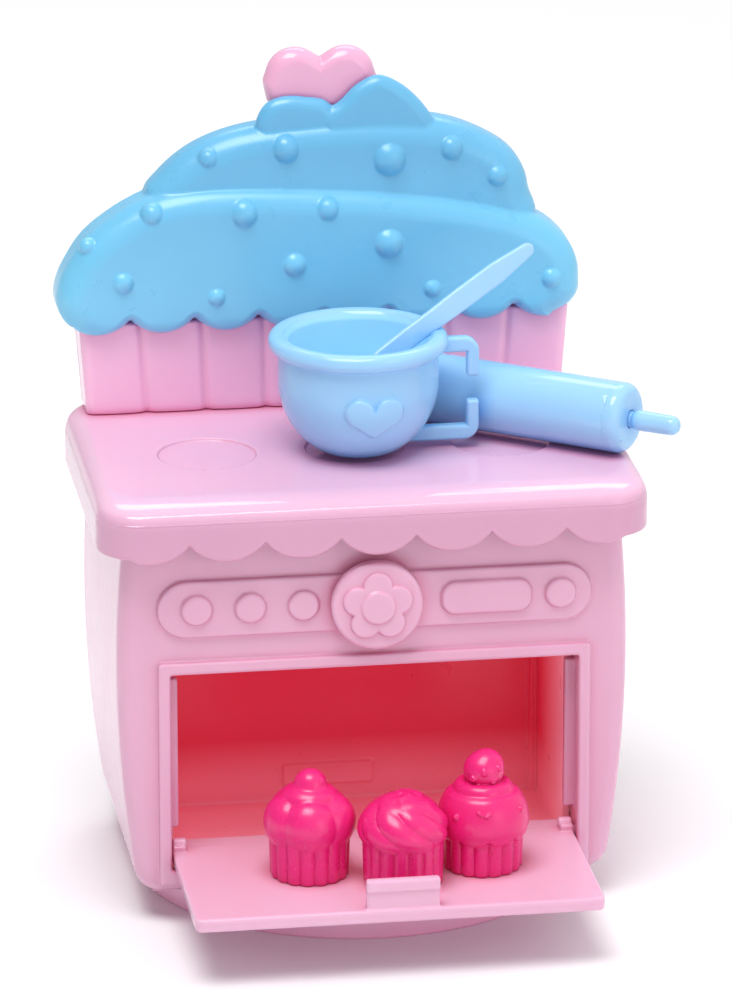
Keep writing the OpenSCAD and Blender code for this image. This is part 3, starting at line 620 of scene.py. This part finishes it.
low_tier = spline([(-50.8, 102.9), (-49.0, 108.1), (-44.1, 114.7), (-33.9, 120.8), (-22, 122.7), (1, 121.6),
                   (15.7, 120.0), (28.6, 117.5), (36.8, 114.8), (42.2, 110.9), (44.9, 106.2), (45.4, 101.7),
                   (45.0, 99.3), (43.3, 97.2), (41, 95.8), (36, 94), (0, 94), (-40, 93.6), (-45.7, 94.8),
                   (-48.6, 96.5), (-50.2, 98.9)])
mid_tier = spline([(-34.2, 120.0), (-31.4, 124.6), (-25.8, 129.1), (-18.5, 132.0), (-10, 133.4), (0, 133.9),
                   (10, 133.9), (19.4, 133.1), (26.9, 130.5), (33.4, 126.1), (36.3, 119.6), (34.6, 112),
                   (0, 112), (-30, 113)])
petal_left = spline([(-14.0, 133.2), (-12.4, 136.8), (-9.2, 138.3), (-4.8, 138.1), (-0.6, 136.9),
                     (1.6, 132), (-12, 130)])
petal_right = spline([(-1.9, 134.6), (1.4, 137.2), (4.4, 140.1), (8.4, 141.8), (12.6, 140.0),
                      (16.2, 136.7), (18.7, 132.9), (18.4, 130.5), (8, 129), (-1, 130)])
# raised drops: x, z and radius
drops = ((-22.8, 127.6, 1.4), (-8.8, 129, 2), (10.1, 126.5, 2.6), (21.5, 128, 1.7), (29.9, 122.5, 1.5),
         (-33.4, 118.2, 1.6), (-16.8, 118, 2), (-1.5, 118.1, 1.6), (9.6, 111.4, 2.3), (-45, 112.4, 1.2),
         (-7.7, 108.1, 1.8), (-39, 106, 1.6), (-22, 102.6, 1.3), (17.6, 102.5, 1.3), (39.6, 103.5, 1.5))
tier_y = wrap_low[1] - 2.6                # the low tier's face
mid_y = tier_y + 2.6                      # the upper tier's face
seam_z = 122.2                            # drops above it are on the upper tier
petals = ((petal_left, mid_y + 1.6), (petal_right, mid_y + 1.3))
petal_thick = 2.5
puff = 5.0                                # rounding of the tiers' front edges
back_puff = 2.2
heart_x, peg_y = -1.7, 29.0
lobe_x, lobe_pitch, lobe_z, lobe_r = -43.4, 11.75, 103.1, 7.8


def tier(outline, face):
    """A puffy tier: well rounded in front, less at the back."""
    return lambda y: meet(meet(outline, face - y, puff), y - frost_high[1], back_puff)


def fringe(x, z):
    """Distance from the scalloped lower edge: round lobes that meet in cusps, nothing cut away above."""
    nearest = np.clip(np.round((x - lobe_x) / lobe_pitch), 0, 7) * lobe_pitch + lobe_x
    u, v = np.abs(x - nearest), z - lobe_z
    half = lobe_pitch / 2
    cusp = math.sqrt(lobe_r ** 2 - half ** 2)
    arc = np.hypot(u, np.minimum(v, 0)) - lobe_r
    return np.where((v < 0) & (u * cusp < -v * half) | (u > half), arc, -np.hypot(u - half, v + cusp))


def drop_y(cx, cz):
    """Where a drop sits on its tier's rounded face."""
    outline, face = (mid_tier, mid_y) if cz > seam_z else (low_tier, tier_y)
    inside = -polygon(np.array([cx]), np.array([cz]), outline)[0]
    over = np.clip(puff - inside, 0, puff)
    return face + puff - math.sqrt(puff ** 2 - over ** 2)


drop_places = [(cx, drop_y(cx, cz), cz, r) for cx, cz, r in drops]


def frosting(x, y, z):
    low = meet(polygon(x, z, low_tier), fringe(x, z) * 2.2, 0.8)
    mid = polygon(x, z, mid_tier)
    shape = join(tier(low, tier_y)(y), tier(mid, mid_y)(y), 0.35)
    for outline, face in petals:
        pillow = meet(meet(polygon(x, z, outline), face - y, 2.4), y - face - petal_thick, 0.9)
        shape = join(shape, pillow, 0.35)
    for cx, cy, cz, r in drop_places:
        cap = 1.08 * r + 0.15                        # a flat cap of a larger ball
        shape = join(shape, ball(x, y, z, (cx, cy + 0.634 * cap, cz), 1.184 * cap), 0.22)
    hollow = np.minimum(meet(low + 3.6, tier_y + 2.9 - y, 0.5), meet(mid + 3.6, mid_y + 2.9 - y, 0.5))
    shape = cut(shape, meet(hollow, 99 - z, 0.1), 0.2)
    # the skirt in front of the wrapper is only as thick as the gap allows
    shape = cut(shape, meet(wrap_low[1] - 0.25 - y, z - wrap_high[2] - 0.15, 0.1), 0.2)
    shape = cut(shape, meet(disc(x, y, heart_x, peg_y, 1.55), 120 - z, 0.1), 0.1)
    return meet(shape, y - frost_high[1] + 0.02, 0.1)


moulding("frosting_tiers", frosting, "frosting_shell", BLUE, 0.42, keep=0.25)


def heart_outline(u, v, size, spread, outline, blend):
    """Heart of two lobes; size is the lobe radius, the spread and the outline are in lobe radii."""
    lobes = disc(np.abs(u), v, spread * size, 0, size)
    return join(lobes, polygon(u, v, np.array(outline) * size), blend)


# the hearts' pointed or rounded lower halves, in lobe radii
TOPPER = [(0, 0.5), (-0.9, 0.5), (-1.86, -0.15), (-1.83, -0.8), (-1.6, -1.27), (1.6, -1.27), (1.83, -0.8),
          (1.86, -0.15), (0.9, 0.5)]
EMBLEM = [(0, 0.15), (-0.97, 0.1), (-1.6, -0.75), (-0.1, -1.86), (0.1, -1.86), (1.6, -0.75), (0.97, 0.1)]


def heart(x, y, z):
    outline = heart_outline(x - heart_x, z - heart_high[2] + 5.3, 5.3, 0.88, TOPPER, 1.8)
    shape = meet(outline, slab(y, heart_low[1], heart_high[1]), 2.68)
    return join(shape, meet(disc(x, y, heart_x, peg_y, 1.5), slab(z, heart_low[2], 137), 0.2), 0.3)


moulding("heart_puff", heart, "heart_topper", HEART, 0.35)


def cover(x, y, z):
    half = wrap_base + (wrap_rim - wrap_base) * (z - wrap_low[2]) / (wrap_high[2] - wrap_low[2])
    outline = np.maximum(np.abs(x - wrap_x) - half, slab(z, wrap_low[2], 100.5))
    outline = np.minimum(outline, np.maximum(polygon(x, z, low_tier) + 1.2, 97.5 - z))
    outline = np.minimum(outline, polygon(x, z, mid_tier) + 1.2)
    shape = meet(outline, slab(y, cover_low[1], cover_high[1]), 0.6)
    ax = np.abs(x - wrap_x)
    shape = cut(shape, meet(disc(ax, z, 25, 106, 3.1), cover_high[1] - 1 - y, 0.1), 0.2)
    return cut(shape, disc(ax, z, 25, 106, 1.4), 0.1)


moulding("backsplash_back", cover, "backsplash_cover", PINK, 0.45)

# ---- Door and dial ----

plate_half_w, plate_low, plate_high = 36.4, 10.6, 13.1
cap_z = 14.3                              # centre of the knuckle's round cap


def door(x, y, z):
    ax = np.abs(x)
    edge_y, tail_y = door_low[1], door_high[1]
    plan = rect(x, y, (-plate_half_w, edge_y), (plate_half_w, tail_y + 10), 1.5)
    plate = meet(meet(plan, slab(z, plate_low, plate_high), 0.6), y - (hinge_y + 1), 0.25)
    tail = meet(meet(plan, slab(z, 11.8, plate_high), 0.25), y - tail_y, 0.3)
    shape = join(plate, tail, 0.15)
    # hinge knuckles: a block with a round cap, and the pin on its outside
    knuckle = block(ax, y, z, (34.0, hinge_y - 1.8, 12.6), (plate_half_w, hinge_y + 1.6, cap_z), 0.3)
    cap = meet(disc(y, z, hinge_y, cap_z, 1.0), slab(ax, 33.8, 36.3), 0.4)
    shape = join(join(shape, knuckle, 0.25), cap, 0.2)
    shape = join(shape, meet(disc(y, z, hinge_y, hinge_z, 1.0), slab(ax, 35, door_high[0]), 0.15), 0.15)
    # shallow window field on the underside
    field = meet(rect(x, y, (-27, edge_y + 7), (27, edge_y + 27), 2), z - (plate_low + 0.5), 0.15)
    shape = cut(shape, field, 0.2)
    # snap tab with its thicker lip
    low_x, high_x = tab_x - 6.55, tab_x + 6.55
    tab = block(x, y, z, (low_x, edge_y + 0.5, 12.5), (high_x, edge_y + 1.9, door_high[2]), 0.4)
    lip = block(x, y, z, (low_x, edge_y + 0.15, 16.3), (high_x, edge_y + 1.2, door_high[2] - 0.1), 0.3)
    return join(join(shape, tab, 0.35), lip, 0.15)


moulding("door_panel", door, "oven_door", DOOR, 0.4)


disc_y, flower_y, dial_back_y = -30.6, -31.3, -28


def dial(x, y, z):
    v = z - panel_z
    r = np.hypot(x, v)
    shape = meet(r - dial_high[0], slab(y, disc_y, dial_back_y), 0.85)
    flower = r - 3
    for i in range(5):
        a = math.radians(72 * i)
        flower = join(flower, disc(x, v, 3.75 * math.sin(a), 3.75 * math.cos(a), 2.7), 0.12)
    shape = join(shape, meet(flower, slab(y, flower_y, dial_back_y), 0.55), 0.15)
    shape = join(shape, meet(r - 3.15, slab(y, dial_low[1], dial_back_y), 0.6), 0.15)
    shape = np.minimum(shape, meet(r - 2, slab(y, -29, -24.5), 0.2))
    return np.minimum(shape, meet(r - 1.4, slab(y, -25, dial_high[1]), 0.3))


moulding("flower_dial", dial, "control_dial", PINK, 0.25, keep=0.5)

# ---- Mixing cup and spoon ----

cup_low, cup_high = cad("mixing_cup")
cup_x, cup_y = 0.5, -3.6
cup_r, cup_wall = 14.4, 1.8
lip_inner_r, lip_outer_r = 12.75, 16.1
bowl_z = work_high[2] + 13.2
rim_z = 100.7
hook_x = cup_high[0]
handle_top_z, handle_low_z = 100.6, 81.3
hook_arm, hook_stem, hook_bend = 2.8, 2.3, 2.9


def cup(x, y, z):
    r = np.hypot(x - cup_x, y - cup_y)
    from_bowl = np.where(z < bowl_z, np.hypot(r, z - bowl_z), r)
    outer = meet(from_bowl - cup_r, cup_low[2] - z, 0.9)
    outer = meet(outer, z - rim_z - 0.6, 0.4)
    rim = meet(slab(r, lip_inner_r, lip_outer_r), slab(z, rim_z - 1.6, rim_z + 1.55), 1.45)
    body = join(outer, rim, 0.7)
    inner = meet(from_bowl - cup_r + cup_wall, cup_low[2] + 1.5 - z, 2.5)
    body = cut(body, inner, 0.9)
    emblem = heart_outline(x - cup_x - 0.9, z - 91.4, 2.72, 0.97, EMBLEM, 0.2)
    skin = ball(x, y, z, (cup_x, cup_y, bowl_z), cup_r + 0.85)
    body = join(body, meet(meet(emblem, skin, 0.8), y - cup_y + 8, 0.2), 0.3)
    # the handle: two hooks that face each other
    hooks = []
    for end_z, way in ((handle_top_z, -1), (handle_low_z, 1)):
        v = (z - end_z) * way                      # distance from the hook's outer edge
        arm = rect(x, v, (cup_x + 5, 0), (hook_x, hook_arm), 0.5)
        stem = rect(x, v, (hook_x - hook_stem, 0), (hook_x, 7.4), 0.5)
        both = np.minimum(arm, stem)
        bend = np.hypot(np.maximum(x - hook_x + hook_bend, 0), np.maximum(hook_bend - v, 0)) - hook_bend
        hooks.append(meet(meet(both, bend, 0.2), slab(y, cup_y - 1.15, cup_y + 1.15), 0.6))
    hooks = np.maximum(np.minimum(*hooks), cup_r - 1.2 - from_bowl)
    return join(body, hooks, 0.5)


moulding("cup_bowl", cup, "mixing_cup", CUP, 0.34, keep=0.45)

spoon_tip = np.array([33, 2, 115.2])
spoon_bowl = np.array([-2.1, -9.1, 94.45])


def spoon(x, y, z):
    run = spoon_tip - spoon_bowl
    length = np.linalg.norm(run)
    run = run / length
    flat = np.array([-run[2] * run[0], -run[2] * run[1], run[0] ** 2 + run[1] ** 2])
    flat /= np.linalg.norm(flat)
    side = np.cross(flat, run)
    roll = math.radians(80)
    face = math.cos(roll) * flat - math.sin(roll) * side
    wide = math.cos(roll) * side + math.sin(roll) * flat
    p = (x - spoon_bowl[0], y - spoon_bowl[1], z - spoon_bowl[2])
    s, w, t = (sum(p[i] * axis[i] for i in range(3)) for axis in (run, wide, face))
    # the blade widens from the bowl and narrows again at the tip
    places, half_widths = (0, 3, 8, 14, 20, 26, 34, length), (0.8, 1.1, 1.7, 1.9, 1.9, 2.05, 2.0, 1.15)
    half = np.interp(s, places, half_widths)
    blade = meet(meet(np.abs(w) - half, slab(s, 1, length), 1.3), np.abs(t) - 0.6, 0.4)
    dish = meet(np.hypot(s * 0.8, w) - 4, np.abs(t) - 0.65, 0.4)
    dish = cut(dish, np.sqrt(s * s + w * w + (t - 4.8) ** 2) - 5, 0.2)
    return join(blade, dish, 0.5)


moulding("spoon_blade", spoon, "spoon", PIN, 0.25, keep=0.5)

# ---- Rolling pin ----

spin = next(j for j in frame["joints"] if j["name"] == "roller_spin")
pin_mid = np.array(spin["pos_m"]) / MM
pin_dir = np.array(spin["axis"], float)
pin_dir /= np.linalg.norm(pin_dir)
roller_r, pin_half, cap_len = 6.4, 21, 3
bore_r = 1.6
handle_len = 9.6


def on_pin(x, y, z):
    """Distance along the rolling pin and away from it."""
    p = (x - pin_mid[0], y - pin_mid[1], z - pin_mid[2])
    s = sum(p[i] * pin_dir[i] for i in range(3))
    return s, np.sqrt(np.maximum(p[0] ** 2 + p[1] ** 2 + p[2] ** 2 - s * s, 0))


def roller(x, y, z):
    s, r = on_pin(x, y, z)
    shape = meet(meet(r - roller_r, -pin_half - s, 1.8), s - (pin_half - cap_len) + 0.005, 0.01)
    # low spigot that the end cap is glued over
    spigot = slab(s, pin_half - cap_len - 1, pin_half - cap_len + 0.4)
    shape = np.minimum(shape, np.maximum(r - roller_r + 0.04, spigot))
    return cut(shape, r - bore_r, 0.2)


def end_cap(x, y, z):
    s, r = on_pin(x, y, z)
    shape = meet(meet(r - roller_r, s - pin_half, 2.0), (pin_half - cap_len) + 0.005 - s, 0.01)
    # small moulding nub low on the end face
    low_side = np.array([-0.36 * roller_r, -0.49 * roller_r, -0.42 * roller_r])
    nub = pin_mid + pin_dir * (pin_half - 0.15) + low_side
    shape = join(shape, ball(x, y, z, nub, 0.45), 0.15)
    return cut(shape, r - bore_r, 0.25)


def axle(x, y, z):
    s, r = on_pin(x, y, z)
    a = np.abs(s) - pin_half
    handle = meet(r - np.interp(a, (0, 1, 10), (2.0, 1.9, 1.75)), slab(a, 0.15, handle_len), 1.6)
    return join(meet(r - 1.5, a - 0.4, 0.2), handle, 0.2)


moulding("roller_barrel", roller, "rolling_pin_roller", PIN, 0.27, keep=0.25)
moulding("roller_cap", end_cap, "rolling_pin_end_cap", PIN, 0.2, keep=0.4)
moulding("pin_axle", axle, "rolling_pin_axle", PIN, 0.3, keep=0.5)

# ---- Cupcakes ----


def egg(x, y, z, c, r):
    """Ellipsoid with three radii."""
    p = [u - v for u, v in zip((x, y, z), c)]
    a = np.sqrt(sum((u / v) ** 2 for u, v in zip(p, r)))
    b = np.sqrt(sum((u / v ** 2) ** 2 for u, v in zip(p, r)))
    return a * (a - 1) / np.maximum(b, 1e-6)


case_height, case_ribs = 9, 16


def case(x, y, z):
    """Fluted case: round ribs with narrow valleys, slightly wider at the top."""
    rib = 0.6 * np.abs(np.sin(case_ribs * np.arctan2(y, x) / 2)) ** 0.6
    r = np.hypot(x, y) - (6.42 + rib + 0.03 * z)
    return meet(r * 0.85, slab(z, 0, case_height), 0.5)


def dome(x, y, z, centre_z, r, rise, fall):
    """Cream crown: an egg with one height above its widest place and another below."""
    v = z - centre_z
    return egg(x, y, np.where(v < 0, v * rise / fall, v), (0, 0, 0), (r, r, rise))


def peak(x, y, z):
    shape = case(x, y, z)
    for i in range(5):
        a = math.radians(72 * i - 96)
        c, s = math.cos(a), math.sin(a)
        u, v = x * c + y * s, y * c - x * s
        shape = join(shape, egg(u, v, z, (4.1, 0, 10.4), (4.25, 5.0, 5.0)), 0.2)
    shape = join(shape, egg(x, y, z, (0, 0, 13.2), (6.2, 6.2, 2.6)), 0.2)
    shape = join(shape, egg(x, y, z, (0, 0, 14.8), (5.1, 5.0, 2.5)), 0.35)
    shape = join(shape, egg(x, y, z, (0.2, 0, 17.0), (2.9, 2.9, 2.75)), 0.6)
    # small lip of flash where the mould halves met
    lip = rod(x, y, z, (-1.6, -6.35, 13.9), (1.3, -6.4, 13.8), 0.16)
    return join(shape, lip, 0.2)


def rosette(x, y, z):
    shape = case(x, y, z)
    r, a = np.hypot(x, y), np.arctan2(y, x)
    fold = np.abs(np.sin(3.5 * (a + 0.18 * (z - 9)))) ** 0.75 * np.clip(r / 5, 0, 1)
    shape = join(shape, (dome(x, y, z, 10.0, 7.6, 6.0, 4.1) - 0.5 * fold) * 0.75, 0.25)
    # two looser turns on top
    swirl = np.abs(np.sin(1.5 * (a + 0.5 * z) + 0.6)) ** 0.8 * np.clip(r / 2.5, 0, 1)
    upper = (egg(x, y, z, (0.3, 0, 14.0), (5.1, 5.1, 2.5)) - 0.32 * swirl) * 0.75
    shape = join(shape, upper, 0.2)
    twist = np.cos(2 * a + r * 1.6) * np.clip(r / 1.5, 0, 1)
    curl = (egg(x, y, z, (0.5, 0, 15.6), (2.9, 2.7, 1.35)) - 0.25 * twist) * 0.75
    return join(shape, curl, 0.25)


def strawberry(x, y, z):
    shape = case(x, y, z)
    r, a = np.hypot(x, y), np.arctan2(y, x)
    hem = 6.9 - 1.3 * np.abs(np.sin(4.5 * (a + 1.6))) ** 0.7      # drooping edge of the cream
    crown = meet(dome(x, y, z, 9.0, 8.25, 8.4, 6.4), (hem - z) * 0.8, 0.7)
    crown = meet(crown, z - 15.1, 1.2)
    shape = join(shape, crown, 0.2)
    shape = join(shape, np.hypot(r - 3.7, z - 14.75) - 1.65, 0.35)
    shape = join(shape, egg(x, y, z, (0, 0, 15), (4, 4, 1.5)), 0.3)
    berry = join(egg(x, y, z, (0.1, 0, 18.1), (3.65, 3.65, 3.4)), ball(x, y, z, (0.9, 0.2, 19.4), 2.2), 1.2)
    for at in ((-0.3, -3.4, 18.7), (2.4, -2.6, 19.2), (-2.3, -2.7, 17.5), (1.2, -3.2, 17.1), (0, 3.6, 18)):
        berry = join(berry, ball(x, y, z, at, 0.62), 0.25)
        berry = cut(berry, ball(x, y, z, (at[0] * 1.18, at[1] * 1.18, at[2]), 0.28), 0.2)
    shape = join(shape, berry, 0.15)
    # sprinkles
    for start, end in (((-2.1, -7.45, 12.7), (-0.6, -7.75, 12.0)), ((-0.6, -7.75, 12.0), (0.3, -7.6, 12.5))):
        shape = join(shape, rod(x, y, z, start, end, 0.28), 0.2)
    for at in ((-5.8, -5.4, 11.4), (6.0, -4.9, 12.2), (5.2, 5.2, 12.5), (-4, 6.4, 11.8)):
        shape = join(shape, ball(x, y, z, at, 0.55), 0.25)
    return shape


for name, node, shape in (("cupcake_a", "cupcake_peak", peak), ("cupcake_b", "cupcake_rosette", rosette),
                          ("cupcake_c", "cupcake_strawberry", strawberry)):
    low, high = cad(node)
    centre = (low + high) / 2
    moulding(name, lambda x, y, z, f=shape, c=centre, z0=low[2]: f(x - c[0], y - c[1], z - z0),
             node, HOT, 0.26, keep=0.35)

# ---- CAD nodes that stay, inside or behind the mouldings ----

for node in ("turntable_washer", "turntable_screw", "case_screws", "backsplash_screws", "dial_clip"):
    frame["nodes"][node].data.materials.clear()
    frame["nodes"][node].data.materials.append(STEEL)
frame["nodes"]["oven_floor"].data.materials.clear()
frame["nodes"]["oven_floor"].data.materials.append(PINK)

# ---- Stage, light and camera ----

scene = bpy.context.scene
scene.view_settings.view_transform = "Standard"


def matte(name, colour):
    material = bpy.data.materials.new(name)
    material.use_nodes = True
    shader = material.node_tree.nodes["Principled BSDF"]
    shader.inputs["Base Color"].default_value = colour
    shader.inputs["Roughness"].default_value = 0.9
    shader.inputs["Specular IOR Level"].default_value = 0.1
    return material


bpy.ops.mesh.primitive_plane_add(size=12)
floor = bpy.context.object
floor.name = "floor"
floor.data.materials.append(matte("floor_white", (0.9, 0.89, 0.9, 1)))

world = bpy.data.worlds.new("studio")
scene.world = world
world.use_nodes = True
world.node_tree.nodes["Background"].inputs["Color"].default_value = (1, 1, 1, 1)
# the studio is brighter on the right and in front than on the left
sky = world.node_tree
way = sky.nodes.new("ShaderNodeTexCoord").outputs["Generated"]
split = sky.nodes.new("ShaderNodeSeparateXYZ")
sky.links.new(way, split.inputs[0])
ramp = sky.nodes.new("ShaderNodeMapRange")
sky.links.new(split.outputs["X"], ramp.inputs["Value"])
for socket, value in (("From Min", -0.9), ("From Max", 0.5), ("To Min", 0.22), ("To Max", 0.82)):
    ramp.inputs[socket].default_value = value
sky.links.new(ramp.outputs["Result"], sky.nodes["Background"].inputs["Strength"])

aim = Vector((0, 0, 0.075))


def softbox(name, place, size, power):
    data = bpy.data.lights.new(name, "AREA")
    data.shape = "RECTANGLE"
    data.size, data.size_y = size
    data.energy = power
    lamp = bpy.data.objects.new(name, data)
    scene.collection.objects.link(lamp)
    lamp.location = place
    lamp.rotation_euler = (aim - Vector(place)).to_track_quat("-Z", "Y").to_euler()


softbox("key", (-0.20, -0.34, 1.15), (0.7, 0.6), 10.8)
softbox("fill", (0.60, -1.00, 0.30), (0.5, 0.6), 0.9)
softbox("rim", (0.15, 0.75, 0.95), (0.8, 0.3), 2.5)

camera_data = bpy.data.cameras.new("camera")
camera_data.lens = 254.0
camera_data.clip_end = 50
camera = bpy.data.objects.new("camera", camera_data)
scene.collection.objects.link(camera)
camera.location = (-0.1769, -1.1942, 0.4790)
look_at = Vector((-0.00175, -0.028, 0.07877))
camera.rotation_euler = (look_at - camera.location).to_track_quat("-Z", "Y").to_euler()
scene.camera = camera

bpy.context.view_layer.update()
